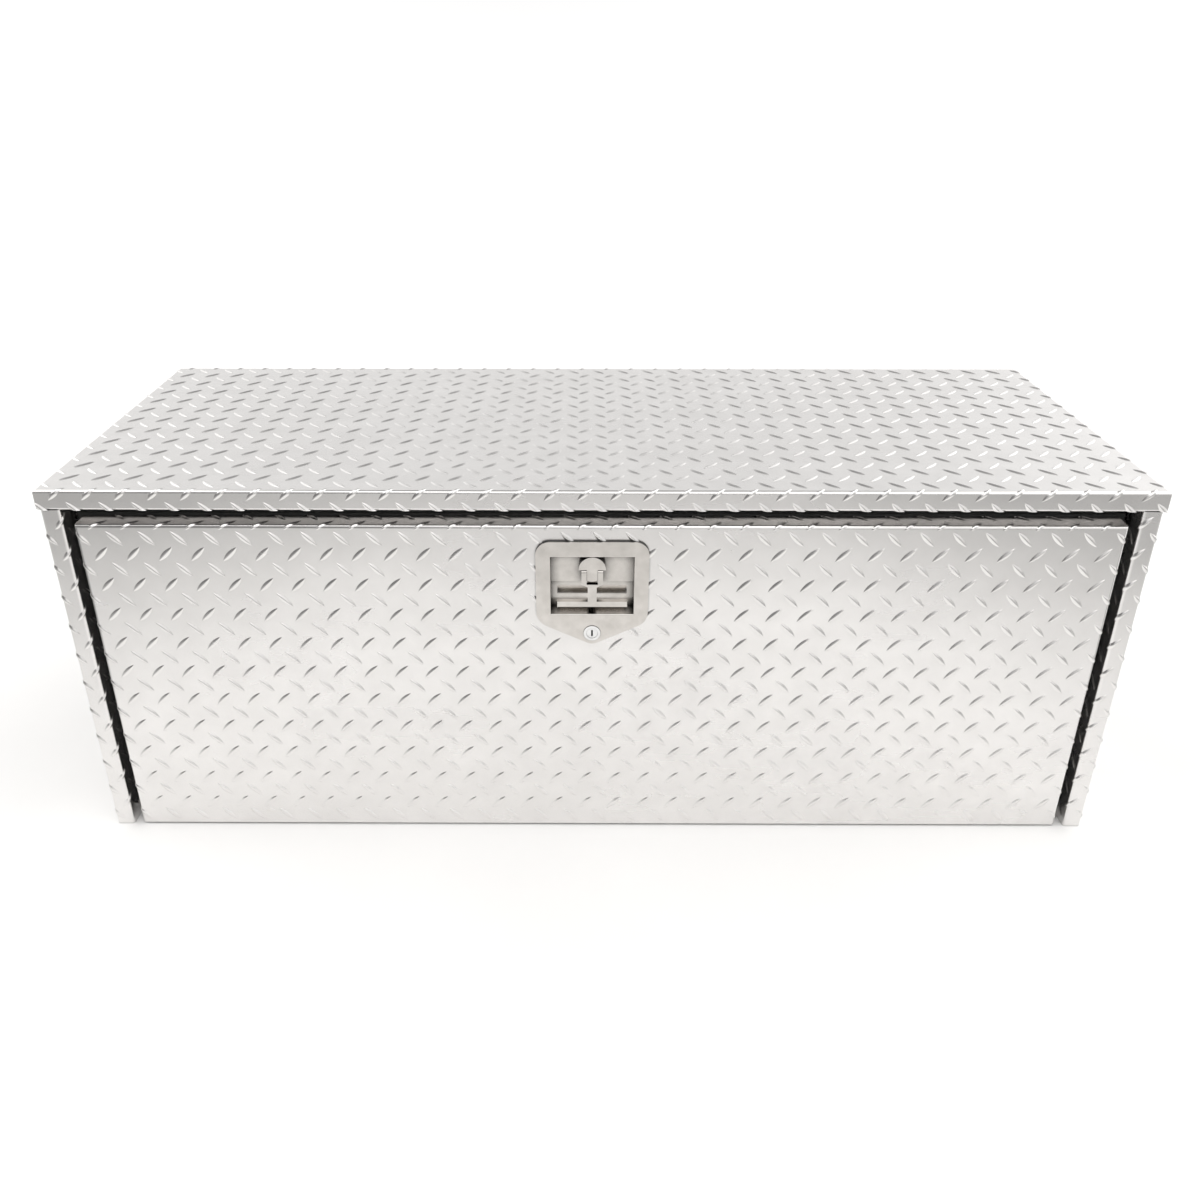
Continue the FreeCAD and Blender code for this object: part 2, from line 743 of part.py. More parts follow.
def make_latch_pan():
    """The shield-shaped plate with a shallow recess for the hub and a deep well for the fingers."""
    body = new_body("latch_pan")
    sketch = sketch_on(body, "XZ_Plane", f"-{PLATE_FRONT}")
    draw_loop(sketch, PLATE_OUTLINE)
    pad(body, sketch, "pan_sheet", backward=True)
    round_edges(body, "latch_corner", [(1, PLATE_OUTLINE[:2])])
    round_edges(body, "latch_shoulder_corner", [(1, [PLATE_OUTLINE[2], PLATE_OUTLINE[4]])])
    round_edges(body, "latch_tip_corner", [(1, [PLATE_OUTLINE[3]])])
    sketch = sketch_on(body, "XZ_Plane", f"-{PLATE_BACK}")
    draw_loop(sketch, tub_outline("pan_sheet", "recess_top"))
    pad(body, sketch, "recess_depth", backward=True)
    sketch = sketch_on(body, "XZ_Plane", f"-({PLATE_BACK} + recess_depth)")
    draw_loop(sketch, tub_outline("pan_sheet", "well_top"))
    pad(body, sketch, "well_depth - recess_depth", backward=True)
    sketch = sketch_on(body, "XZ_Plane", f"-{PLATE_FRONT}")
    draw_loop(sketch, tub_outline("0", "recess_top"))
    pocket(body, sketch, "recess_depth")
    sketch = sketch_on(body, "XZ_Plane", f"-{RECESS_FLOOR}")
    draw_loop(sketch, tub_outline("0", "well_top"))
    pocket(body, sketch, "well_depth - recess_depth")
    recess = tub_outline("0", "recess_top")
    rim = [
        (0, [(PLATE_FRONT, recess[0][1]), (PLATE_FRONT, recess[2][1])]),
        (2, [(recess[0][0], PLATE_FRONT), (recess[1][0], PLATE_FRONT)]),
    ]
    round_edges(body, "recess_rim", rim)
    sketch = sketch_on(body, "XZ_Plane", f"-{PLATE_FRONT}")
    draw_circle(sketch, ("latch_offset", LOCK_Z), "lock_radius")
    draw_circle(sketch, ("latch_offset", HUB_Z), "shaft_radius + running + bushing_wall")
    pocket(body, sketch, "recess_depth + pan_sheet")
    return keep(body, "latch_pan")


def make_latch_gasket():
    """A thin rubber gasket between the plate and the door."""
    body = new_body("latch_gasket")
    sketch = sketch_on(body, "XZ_Plane", f"-{PLATE_BACK}")
    draw_loop(sketch, PLATE_OUTLINE)
    pad(body, sketch, "gasket_thickness", backward=True)
    round_edges(body, "latch_corner", [(1, PLATE_OUTLINE[:2])])
    round_edges(body, "latch_shoulder_corner", [(1, [PLATE_OUTLINE[2], PLATE_OUTLINE[4]])])
    round_edges(body, "latch_tip_corner", [(1, [PLATE_OUTLINE[3]])])
    sketch = sketch_on(body, "XZ_Plane", f"-{PLATE_BACK}")
    draw_loop(sketch, tub_outline("pan_sheet", "recess_top"))
    draw_circle(sketch, ("latch_offset", LOCK_Z), "lock_radius")
    for place in STUD_PLACES:
        draw_circle(sketch, place, "stud_radius")
    pocket(body, sketch, "gasket_thickness")
    return keep(body, "latch_gasket")


def make_studs_and_nuts():
    """Four studs on the back of the plate, and the nuts that hold it to the door."""
    studs = []
    nuts = []
    for across, up in STUD_PLACES:
        studs.append(rod((across, PLATE_BACK, up), "Y", "stud_length", "stud_radius"))
        nut = hexagon((across, SKIN_BACK, up), "nut_height", "nut_width")
        nuts.append(cut(nut, [rod((across, SKIN_BACK, up), "Y", "nut_height", "stud_radius")]))
    keep(group(studs), "latch_studs")
    keep(group(nuts), "latch_nuts")


def make_spindle_bushing():
    """A flanged bushing in the floor of the recess."""
    outer = "shaft_radius + running + bushing_wall"
    centre = ("latch_offset", RECESS_FLOOR, HUB_Z)
    behind = ("latch_offset", f"{RECESS_FLOOR} + pan_sheet", HUB_Z)
    sleeve = rod(centre, "Y", "bushing_length", outer)
    flange = rod(behind, "Y", "bushing_flange_height", f"{outer} + bushing_flange")
    bore = rod(centre, "Y", "bushing_length", "shaft_radius + running")
    return keep(cut(joined([sleeve, flange]), [bore]), "spindle_bushing")


def make_latch_spindle():
    """The round hub with a lug for the handle, its shaft, its square and its threaded end."""
    centre = ("latch_offset", HUB_FRONT, HUB_Z)
    hub = rod(centre, "Y", f"{HUB_BACK} - {HUB_FRONT}", "hub_radius")
    pockets = []
    for side in (-1, 1):
        us = (f"latch_offset + {side} * lug_width / 2", f"latch_offset + {side} * (hub_radius + 1)")
        us = sorted(us, key=value)
        low = (us[0], f"{HUB_FRONT} - 1", f"{HUB_Z} - hub_radius - 1")
        high_z = f"{PIVOT_Z} + handle_thickness / 2 + 2 * yoke_clearance"
        high = (us[1], f"{PIVOT_Y} + handle_thickness / 2 + yoke_clearance", high_z)
        pockets.append(box(low, high))
    pin_hole = rod((f"latch_offset - hub_radius", PIVOT_Y, PIVOT_Z), "X", "2 * hub_radius", "pivot_radius")
    hub = cut(hub, pockets + [pin_hole])
    shaft = rod(
        ("latch_offset", HUB_BACK, HUB_Z), "Y", f"{DOG_FRONT} - {HUB_BACK}", "shaft_radius"
    )
    square = box(
        ("latch_offset - square_width / 2", DOG_FRONT, f"{HUB_Z} - square_width / 2"),
        ("latch_offset + square_width / 2", CAM_BACK, f"{HUB_Z} + square_width / 2"),
    )
    thread_length = "washer_thickness + cam_nut_height + thread_end"
    thread = rod(("latch_offset", CAM_BACK, HUB_Z), "Y", thread_length, "thread_radius")
    return keep(joined([hub, shaft, square, thread]), "latch_spindle")


def make_arm(label, centre_z, front, thickness, radius, width, reach, hole):
    """A flat round boss with one straight arm, cut by a hole piece."""
    boss = rod(("latch_offset", front, centre_z), "Y", thickness, radius)
    ends = sorted((centre_z, f"{centre_z} + ({reach})"), key=value)
    arm = box(
        (f"latch_offset - {width} / 2", front, ends[0]),
        (f"latch_offset + {width} / 2", f"{front} + {thickness}", ends[1]),
    )
    return keep(cut(joined([boss, arm]), [hole]), label)


def square_hole(front, back):
    """The square through the pieces that turn with the spindle."""
    return box(
        ("latch_offset - square_width / 2", front, f"{HUB_Z} - square_width / 2"),
        ("latch_offset + square_width / 2", back, f"{HUB_Z} + square_width / 2"),
    )


def make_spindle_stack():
    """The lock dog, spacer, cam, washer and nut on the spindle."""
    dog_back = f"({DOG_FRONT} + dog_thickness)"
    hole = square_hole(DOG_FRONT, dog_back)
    make_arm("lock_dog", HUB_Z, DOG_FRONT, "dog_thickness", "dog_radius", "dog_tail_width",
             "-dog_tail", hole)
    hole = square_hole(CAM_FRONT, CAM_BACK)
    make_arm("latch_cam", HUB_Z, CAM_FRONT, "cam_thickness", "cam_radius", "cam_arm_width",
             "cam_arm", hole)
    inner = "(square_width / sqrt(2) + spacer_clearance)"
    start = ("latch_offset", dog_back, HUB_Z)
    length = f"{CAM_FRONT} - {dog_back}"
    tube = rod(start, "Y", length, f"{inner} + spacer_wall")
    keep(cut(tube, [rod(start, "Y", length, inner)]), "spindle_spacer")
    start = ("latch_offset", CAM_BACK, HUB_Z)
    washer = rod(start, "Y", "washer_thickness", "washer_radius")
    keep(cut(washer, [rod(start, "Y", "washer_thickness", "thread_radius")]), "cam_washer")
    start = ("latch_offset", f"{CAM_BACK} + washer_thickness", HUB_Z)
    nut = hexagon(start, "cam_nut_height", "cam_nut_width")
    keep(cut(nut, [rod(start, "Y", "cam_nut_height", "thread_radius")]), "cam_nut")


def make_strike():
    """The wear plate that the cam bears on, welded behind the top stop."""
    low = f"({LIP_BOTTOM} - top_stop / 2 - strike_height / 2)"
    plate = box(
        ("latch_offset - strike_width / 2", STOP_BACK, low),
        ("latch_offset + strike_width / 2", f"{STOP_BACK} + strike_thickness", f"{low} + strike_height"),
    )
    keep(plate, "strike_plate")


def make_t_handle():
    """The folding handle: a yoke on the pivot, a stem and a cross bar."""
    body = new_body("t_handle")
    front = f"({PIVOT_Y} - handle_thickness / 2)"
    lug_half = "(lug_width / 2 + yoke_clearance)"
    yoke_top = f"({PIVOT_Z} + handle_thickness / 2)"
    right_side = [
        (lug_half, yoke_top),
        ("yoke_width / 2", yoke_top),
        ("yoke_width / 2", "height - window_bottom"),
        ("stem_width / 2", "height - yoke_bottom"),
        ("stem_width / 2", "height - bar_top"),
        ("-stem_width / 2", "height - bar_top"),
        ("-stem_width / 2", "height - yoke_bottom"),
        ("-yoke_width / 2", "height - window_bottom"),
        ("-yoke_width / 2", yoke_top),
        (f"-{lug_half}", yoke_top),
        (f"-{lug_half}", "height - window_bottom"),
        (lug_half, "height - window_bottom"),
    ]
    sketch = sketch_on(body, "XZ_Plane", f"-{front}")
    draw_loop(sketch, [(f"latch_offset + ({u})", v) for u, v in right_side])
    pad(body, sketch, "handle_thickness", backward=True)
    back = f"({front} + handle_thickness)"
    root_edges = [(0, [(front, yoke_top), (back, yoke_top)])]
    round_edges(body, "handle_thickness / 2 * 0.98", root_edges)
    sketch = sketch_on(body, "XZ_Plane", f"-{front}")
    low = (f"latch_offset - {BAR_HALF}", "height - bar_bottom")
    draw_loop(sketch, corners(low, (f"latch_offset + {BAR_HALF}", "height - bar_top")))
    pad(body, sketch, "bar_thickness", backward=True)
    ends = [(f"latch_offset + {side} * {BAR_HALF}", front) for side in (-1, 1)]
    ends += [(f"latch_offset + {side} * {BAR_HALF}", f"{front} + bar_thickness") for side in (-1, 1)]
    long_edges = [(front, "height - bar_bottom"), (f"{front} + bar_thickness", "height - bar_bottom")]
    round_edges(body, "bar_edge_radius", [(2, ends), (0, long_edges)])
    sketch = sketch_on(body, "YZ_Plane", "latch_offset - yoke_width / 2")
    draw_circle(sketch, (PIVOT_Y, PIVOT_Z), "pivot_radius + running")
    pocket(body, sketch, "yoke_width", backward=True)
    return keep(body, "t_handle")


def make_pivot_pin():
    """The pin through the yoke and the lug."""
    start = ("latch_offset - yoke_width / 2", PIVOT_Y, PIVOT_Z)
    return keep(rod(start, "X", "yoke_width", "pivot_radius"), "handle_pivot_pin")


# ---------------------------------------------------------------- the lock


def make_lock():
    """The barrel in the plate, its nut, the plug with a keyway, the tongue and its screw."""
    face = f"({PLATE_FRONT} - lock_proud)"
    face_point = ("latch_offset", face, LOCK_Z)
    barrel = rod(face_point, "Y", f"{DOG_FRONT} - panel_clearance - {face}", "lock_radius")
    bore = rod(face_point, "Y", f"{DOG_FRONT} - {face}", "plug_radius + running")
    keep(cut(barrel, [bore]), "lock_barrel")
    nut_start = ("latch_offset", SKIN_BACK, LOCK_Z)
    nut = hexagon(nut_start, "lock_nut_height", "lock_nut_width")
    keep(cut(nut, [rod(nut_start, "Y", "lock_nut_height", "lock_radius")]), "lock_nut")
    plug_front = f"({face} + plug_recess)"
    plug = rod(("latch_offset", plug_front, LOCK_Z), "Y", f"{DOG_FRONT} - {plug_front}", "plug_radius")
    keyway = box(
        ("latch_offset - keyway_width / 2", plug_front, f"{LOCK_Z} - keyway_height / 2"),
        ("latch_offset + keyway_width / 2", f"{plug_front} + keyway_depth",
         f"{LOCK_Z} + keyway_height / 2"),
    )
    screw_bore = rod(
        ("latch_offset", f"{DOG_FRONT} - screw_length + tongue_thickness", LOCK_Z),
        "Y", "screw_length", "screw_radius",
    )
    keep(cut(plug, [keyway, screw_bore]), "lock_plug")
    tongue_back = f"({DOG_FRONT} + tongue_thickness)"
    boss = rod(("latch_offset", DOG_FRONT, LOCK_Z), "Y", "tongue_thickness", "tongue_radius")
    arm = box(
        ("latch_offset", DOG_FRONT, f"{LOCK_Z} - tongue_width / 2"),
        ("latch_offset + tongue_length", tongue_back, f"{LOCK_Z} + tongue_width / 2"),
    )
    hole = rod(("latch_offset", DOG_FRONT, LOCK_Z), "Y", "tongue_thickness", "screw_radius")
    keep(cut(joined([boss, arm]), [hole]), "lock_tongue")
    shank = rod(
        ("latch_offset", f"{tongue_back} - screw_length", LOCK_Z), "Y", "screw_length", "screw_radius"
    )
    head = rod(("latch_offset", tongue_back, LOCK_Z), "Y", "screw_head_height", "screw_head_radius")
    keep(joined([shank, head]), "tongue_screw")


def make_everything():
    """Builds every sub-part in turn."""
    make_top_cover()
    make_top_stop()
    make_side_panel("left_side_panel", -1)
    make_side_panel("right_side_panel", 1)
    make_back_panel()
    make_floor_panel()
    make_door_seal()
    make_hinge_rail()
    make_body_leaf()
    make_door_leaf()
    make_hinge_pin()
    make_hinge_rivets()
    make_door_skin()
    for name, side in (("left", -1), ("right", 1)):
        make_stiffener(f"{name}_door_stiffener", side)
        make_body_tab(f"{name}_body_stay_tab", side)
        make_door_tab(f"{name}_door_stay_tab", side)
    make_latch_pan()
    make_latch_gasket()
    make_studs_and_nuts()
    make_spindle_bushing()
    make_latch_spindle()
    make_spindle_stack()
    make_strike()
    make_t_handle()
    make_pivot_pin()
    make_lock()
    DOC.recompute()


def check_everything():
    """Stops the build if anything failed."""
    for thing in DOC.Objects:
        if "Invalid" in thing.State or "Error" in thing.State:
            raise ValueError(f"{thing.Label} ({thing.Name}) failed")
    for piece in PIECES:
        if piece.Shape.isNull() or not piece.Shape.isValid():
            raise ValueError(f"{piece.Label} has no valid shape")


make_everything()
check_everything()
os.makedirs("parts", exist_ok=True)
for piece in PIECES:
    piece.Shape.exportStep(f"parts/{piece.Label}.step")
    size = piece.Shape.BoundBox
    print(f"{piece.Label}: {len(piece.Shape.Solids)} solids, {piece.Shape.Volume:.0f} mm3,"
          f" {size.XLength:.1f} x {size.YLength:.1f} x {size.ZLength:.1f}")
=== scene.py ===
import json
import math

import bmesh
import bpy
import numpy as np
from mathutils import Euler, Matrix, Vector

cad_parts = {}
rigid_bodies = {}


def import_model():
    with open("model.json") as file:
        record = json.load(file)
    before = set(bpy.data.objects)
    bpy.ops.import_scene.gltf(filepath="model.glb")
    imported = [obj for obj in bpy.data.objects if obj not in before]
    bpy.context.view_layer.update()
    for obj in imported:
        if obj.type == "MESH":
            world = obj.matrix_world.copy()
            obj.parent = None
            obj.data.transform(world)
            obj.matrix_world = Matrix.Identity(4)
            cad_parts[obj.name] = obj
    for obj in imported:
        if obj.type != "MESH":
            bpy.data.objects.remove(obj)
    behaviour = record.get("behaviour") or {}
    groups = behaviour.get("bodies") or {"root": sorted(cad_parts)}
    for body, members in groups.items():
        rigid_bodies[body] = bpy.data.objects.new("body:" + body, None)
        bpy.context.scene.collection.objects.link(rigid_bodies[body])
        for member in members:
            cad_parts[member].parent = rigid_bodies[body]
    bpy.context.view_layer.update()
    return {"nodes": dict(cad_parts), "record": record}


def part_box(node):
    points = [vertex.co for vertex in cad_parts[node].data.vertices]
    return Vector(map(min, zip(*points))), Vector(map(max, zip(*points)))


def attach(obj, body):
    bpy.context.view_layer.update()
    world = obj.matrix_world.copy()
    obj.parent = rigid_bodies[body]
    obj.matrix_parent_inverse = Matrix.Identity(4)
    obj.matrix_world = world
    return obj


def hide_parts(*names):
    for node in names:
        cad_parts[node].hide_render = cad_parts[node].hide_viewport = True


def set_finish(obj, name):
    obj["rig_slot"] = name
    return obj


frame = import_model()

# %% [markdown]
# A truck tool box is folded from bright tread plate, an aluminium sheet rolled with raised
# lozenges in two crossing directions. The design model gives every sheet its outline, its bends
# and its holes, and leaves its faces plain. This lesson adds the rolled pattern as real shape,
# because the bright and dark flanks of the lozenges are most of what one sees of such a box.
#
# All sizes below are metres. X runs along the box, -Y is the door side and Z is up. The corners
# of each sheet are read from the design, so the pattern always fits the sheets it is laid on.

# %% Shared sizes and small helpers
MM = 0.001
PI = math.pi
nodes = frame["nodes"]


def top_of(node):
    """Highest Z of a design node."""
    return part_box(node)[1][2]


def new_piece(name, mesh, body, material_slot):
    """Links a mesh as a piece that rides on a body and takes its finish from a slot."""
    piece = bpy.data.objects.new(name, mesh)
    bpy.context.scene.collection.objects.link(piece)
    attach(piece, body)
    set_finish(piece, material_slot)
    return piece


LIP_OVERLAP = 21.3 * MM

BOX_LOW, BOX_HIGH = (Vector(corner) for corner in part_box("top_cover"))
SKIN_LOW, SKIN_HIGH = (Vector(corner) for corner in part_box("door_skin"))
SIDE_LOW, SIDE_HIGH = (Vector(corner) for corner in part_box("right_side_panel"))
BACK_LOW, BACK_HIGH = (Vector(corner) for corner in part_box("back_panel"))
FLOOR_LOW, FLOOR_HIGH = (Vector(corner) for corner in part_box("floor_panel"))
FRONT = BOX_LOW.y
LIP_BOTTOM = top_of("right_side_panel") - LIP_OVERLAP
print("cover", [round(v, 4) for v in (*BOX_LOW, *BOX_HIGH)])

# %% [markdown]
# On the real sheet the lozenges stand about a millimetre and a third above the metal between
# them. The design model's faces lie at the height of the lozenge tops, so the sheet between them
# has to sink by that much. One way is to model every sheet again; another is to copy the design
# mesh and press its outer layer inwards. The second keeps every hole and bend where the moving
# parts expect them, so it is used here: each coordinate close to an outer face is squeezed
# towards the middle of the bend, which shrinks the bend's radius and sinks the face in one go.

# %% Press the outer faces of a sheet inwards
TREAD = 1.3 * MM
BEND = 4.8 * MM
BEND_IN = BEND - TREAD
THIN = 3.0 * MM


def squeeze(values, limit, towards, zone):
    """Moves coordinates near a limit inwards: the ones on it by the tread, the rest in step."""
    depth = (limit - values) * towards
    share = np.clip(1 - depth / zone, 0, 1)
    near = (depth > -1e-6) & (depth < zone)
    return np.where(near, values - towards * TREAD * share, values)


def pressed_copy(node, presses):
    """A copy of a design mesh with the given faces sunk by the height of the tread."""
    mesh = nodes[node].data.copy()
    work = bmesh.new()
    work.from_mesh(mesh)
    bmesh.ops.remove_doubles(work, verts=work.verts, dist=1e-6)
    work.to_mesh(mesh)
    work.free()
    points = np.empty(len(mesh.vertices) * 3)
    mesh.vertices.foreach_get("co", points)
    points = points.reshape(-1, 3)
    for axis, limit, towards, zone in presses:
        points[:, axis] = squeeze(points[:, axis], limit, towards, zone)
    mesh.vertices.foreach_set("co", points.ravel())
    mesh.update()
    return mesh


print("tread stands", TREAD, "high, and a bend's radius shrinks to", round(BEND_IN, 4))

# %% [markdown]
# A lozenge is a little lens-shaped ridge, about 25 mm long and 7 mm wide, with a point at each
# end. The rollers press it into the flat sheet before the sheet is folded, so lozenges run
# straight over the bends and are cut wherever the sheet is cut. A bump map could fake them from
# the front, but their outline against the light and their shadows at the bends would be missing.
# So each one is a small mesh of its own, laid out on the flat sheet and then folded with it.

# %% One lozenge
PITCH_U = 35.5 * MM
PITCH_V = 38.2 * MM
LONG = 25.0 * MM
WIDE = 7.2 * MM
SUNK = 0.12 * MM
ROWS_ALONG = 13
ROWS_ACROSS = 7
TIP_WIDTH = 0.02 * MM
OUTLINE_SHARPNESS = 0.85
CROWN_FLATNESS = 3.2
FLANK_FULLNESS = 0.8


def lozenge():
    """Points (along, across, height) of one ridge, and its faces."""
    along = np.sin(np.linspace(-PI / 2, PI / 2, ROWS_ALONG))
    across = np.linspace(-1, 1, ROWS_ACROSS)
    t, w = np.meshgrid(along, across, indexing="ij")
    half = WIDE / 2 * (1 - t**2) ** OUTLINE_SHARPNESS + TIP_WIDTH
    crown = (1 - np.abs(t) ** CROWN_FLATNESS) ** FLANK_FULLNESS
    ridge = (0.5 + 0.5 * np.cos(w * PI)) ** FLANK_FULLNESS
    points = np.stack([t * LONG / 2, w * half, (TREAD + SUNK) * crown * ridge - SUNK], -1)
    rows, columns = t.shape
    faces = []
    for i in range(rows - 1):
        for j in range(columns - 1):
            a = i * columns + j
            faces.append((a, a + columns, a + columns + 1, a + 1))
    return points.reshape(-1, 3), np.array(faces)


RIDGE, RIDGE_FACES = lozenge()
print("one lozenge has", len(RIDGE_FACES), "faces")

# %% [markdown]
# The pattern has two sets of lozenges, each on its own grid and turned 45 degrees one way or
# the other. The second grid sits in the middle of the squares of the first. Two loops place
# them all, starting from one lozenge whose place is known.

# %% The lattice of the pattern
def lattice(u_range, v_range, anchor):
    """Centres and directions of every lozenge in a stretch of flat sheet."""
    spots = []
    for turn, shift in ((1, 0.0), (-1, 0.5)):
        u_first = math.ceil((u_range[0] - anchor[0]) / PITCH_U - shift)
        u_last = math.floor((u_range[1] - anchor[0]) / PITCH_U - shift)
        v_first = math.ceil((v_range[0] - anchor[1]) / PITCH_V - shift)
        v_last = math.floor((v_range[1] - anchor[1]) / PITCH_V - shift)
        for i in range(u_first, u_last + 1):
            for j in range(v_first, v_last + 1):
                u = anchor[0] + (i + shift) * PITCH_U
                v = anchor[1] + (j + shift) * PITCH_V
                spots.append((u, v, turn * PI / 4))
    return np.array(spots)


def laid_out(spots):
    """Flat-sheet coordinates (u, v, height) of every point of every lozenge."""
    cosine, sine = np.cos(spots[:, 2])[:, None], np.sin(spots[:, 2])[:, None]
    u = spots[:, 0][:, None] + RIDGE[None, :, 0] * cosine - RIDGE[None, :, 1] * sine
    v = spots[:, 1][:, None] + RIDGE[None, :, 0] * sine + RIDGE[None, :, 1] * cosine
    return u, v, np.broadcast_to(RIDGE[None, :, 2], u.shape)


example = lattice((0, 0.1), (0, 0.1), (0, 0))
print("a tenth of a metre square holds", len(example), "lozenges")

# %% [markdown]
# To fold the pattern, walk along the flat sheet from the middle of a face. Up to the bend
# nothing changes. Along the bend the way goes round a quarter circle, and after it straight
# back into the depth. The same walk tells which way the sheet faces, and so where "up" is for a
# lozenge there. This is how a sheet-metal worker unfolds a part to mark it out, run backwards.

# %% Fold flat-sheet coordinates round a pair of bends
def folded(s, half, radius, height):
    """Place along the face and depth behind it, for a walk s from the middle of the face."""
    side = np.where(s < 0, -1.0, 1.0)
    past = np.abs(s) - (half - radius)
    angle = np.clip(past / radius, 0, PI / 2)
    straight = np.clip(past - radius * PI / 2, 0, None)
    flat = np.minimum(np.abs(s), half - radius)
    along = flat + (radius + height) * np.sin(angle)
    depth = radius - (radius + height) * np.cos(angle) + straight
    return side * along, depth


def walk_to_depth(half, radius, depth):
    """How far to walk from the middle of a face to reach a depth on its folded edge."""
    return half - radius + radius * PI / 2 + depth - radius


print("round one bend the sheet is", round(BEND_IN * PI / 2, 5), "long")

# %% [markdown]
# Smooth shading blends the directions of neighbouring faces. On a big flat sheet with long thin
# faces that leaves false wedges of light. A weighted normal modifier lets the large faces
# decide, so the flat stays flat and only the bends and lozenges look round.
#
# With that, a finished sheet is the pressed copy and all its lozenges in one mesh. They stay
# one piece because they are one piece of metal.

# %% Make one finished sheet
SHARP_FROM = math.radians(38)
SAME_SPOT = 2e-6


def even_shading(piece):
    """Lets large faces decide the shading, so flat sheet looks flat right up to its bends."""
    even = piece.modifiers.new("even shading", "WEIGHTED_NORMAL")
    even.mode = "FACE_AREA"
    even.weight = 100
    even.keep_sharp = True


def ridges_mesh(points):
    """One mesh from the points of many lozenges."""
    count, each = points.shape[:2]
    offsets = (np.arange(count) * each)[:, None, None]
    faces = (RIDGE_FACES[None] + offsets).reshape(-1, 4)
    mesh = bpy.data.meshes.new("ridges")
    mesh.from_pydata(points.reshape(-1, 3).tolist(), [], faces.tolist())
    return mesh


def tread_sheet(node, body, presses, ridge_points):
    """The finished sheet: the pressed copy and its lozenges as one piece."""
    mesh = pressed_copy(node, presses)
    work = bmesh.new()
    work.from_mesh(mesh)
    ridges = ridges_mesh(np.concatenate(ridge_points))
    start = len(work.faces)
    work.from_mesh(ridges)
    work.faces.ensure_lookup_table()
    grown = work.faces[start:]
    bmesh.ops.remove_doubles(work, verts=list({v for f in grown for v in f.verts}), dist=SAME_SPOT)
    bmesh.ops.recalc_face_normals(work, faces=work.faces)
    work.to_mesh(mesh)
    work.free()
    mesh.materials.clear()
    mesh.shade_smooth()
    mesh.set_sharp_from_angle(angle=SHARP_FROM)
    piece = new_piece(f"{node}_tread", mesh, body, "tread_plate")
    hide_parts(node)
    even_shading(piece)
    print(piece.name, len(mesh.polygons), "faces")


print("edges sharper than", round(math.degrees(SHARP_FROM)), "degrees stay sharp")

# %% [markdown]
# The cover is one sheet with all four edges folded down. The places of its lozenges are measured
# from the middle of the top. They run over the front and back bends, and near the two ends they
# go over the end bends instead. The corner squares, which the folder cuts out, stay empty.

# %% The top cover
cover_half_u = BOX_HIGH.x - TREAD
cover_half_v = BOX_HIGH.y - TREAD
cover_top = BOX_HIGH.z - TREAD
lip_depth = cover_top - LIP_BOTTOM
end_u = walk_to_depth(cover_half_u, BEND_IN, lip_depth)
end_v = walk_to_depth(cover_half_v, BEND_IN, lip_depth)
DOOR_ANCHOR = (-549.3 * MM, 36.2 * MM)
LIP_ROW_DROP = 1.5 * MM
LIP_ANCHOR_V = -(cover_half_v + LIP_ROW_DROP)

spots = lattice((-end_u, end_u), (-end_v, end_v), (DOOR_ANCHOR[0], LIP_ANCHOR_V))
over_end = np.abs(spots[:, 0]) > cover_half_u - BEND_IN - LONG / 2
on_top = np.abs(spots[:, 1]) < cover_half_v - BEND_IN
on_cover = np.abs(spots[:, 0]) < cover_half_u
u, v, height = laid_out(spots[on_cover & ~(over_end & on_top)])
u = np.clip(u, -cover_half_u, cover_half_u)
v = np.clip(v, -end_v, end_v)
y, depth = folded(v, cover_half_v, BEND_IN, height)
front_and_top = np.stack([u, y, cover_top - depth], -1)
u, v, height = laid_out(spots[over_end & on_top])
u = np.clip(u, -end_u, end_u)
x, depth = folded(u, cover_half_u, BEND_IN, height)
both_ends = np.stack([x, v, cover_top - depth], -1)

tread_sheet(
    "top_cover",
    "box",
    [
        (0, BOX_HIGH.x, 1, BEND),
        (0, -BOX_HIGH.x, -1, BEND),
        (1, BOX_HIGH.y, 1, BEND),
        (1, BOX_LOW.y, -1, BEND),
        (2, BOX_HIGH.z, 1, BEND),
    ],
    [front_and_top, both_ends],
)

# %% [markdown]
# The door is a shallow pan with its top and side edges folded back. Where the latch goes
# through, the fitter cuts the sheet, lozenges and all. Lozenges that would hang over the cut
# are left out; the latch plate covers the rest of the edge.

# %% The door skin
door_front = SKIN_LOW.y + TREAD
door_half_u = SKIN_HIGH.x - TREAD
door_middle = (SKIN_LOW.z + SKIN_HIGH.z) / 2
door_half_v = (SKIN_HIGH.z - SKIN_LOW.z) / 2 - TREAD
flange_depth = SKIN_HIGH.y - door_front
end_u = walk_to_depth(door_half_u, BEND_IN, flange_depth)
end_up = walk_to_depth(door_half_v, BEND_IN, flange_depth)

pan_low, pan_high = (Vector(corner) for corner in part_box("latch_pan"))
pan_centre = (pan_low.x + pan_high.x) / 2
WELL_HALF = 58 * MM
WELL_BOTTOM = 300 * MM
WELL_TOP = 390 * MM
LOCK_Z = 282.9 * MM
LOCK_HALF = 22 * MM
CUT_EDGE = 0.1 * MM


def over_the_cut(spots):
    """Which lozenges would hang over the openings behind the latch plate."""
    x, z = spots[:, 0], spots[:, 1] + door_middle
    well = (np.abs(x - pan_centre) < WELL_HALF) & (z > WELL_BOTTOM) & (z < WELL_TOP)
    lock = (np.abs(x - pan_centre) < LOCK_HALF) & (np.abs(z - LOCK_Z) < LOCK_HALF)
    return well | lock


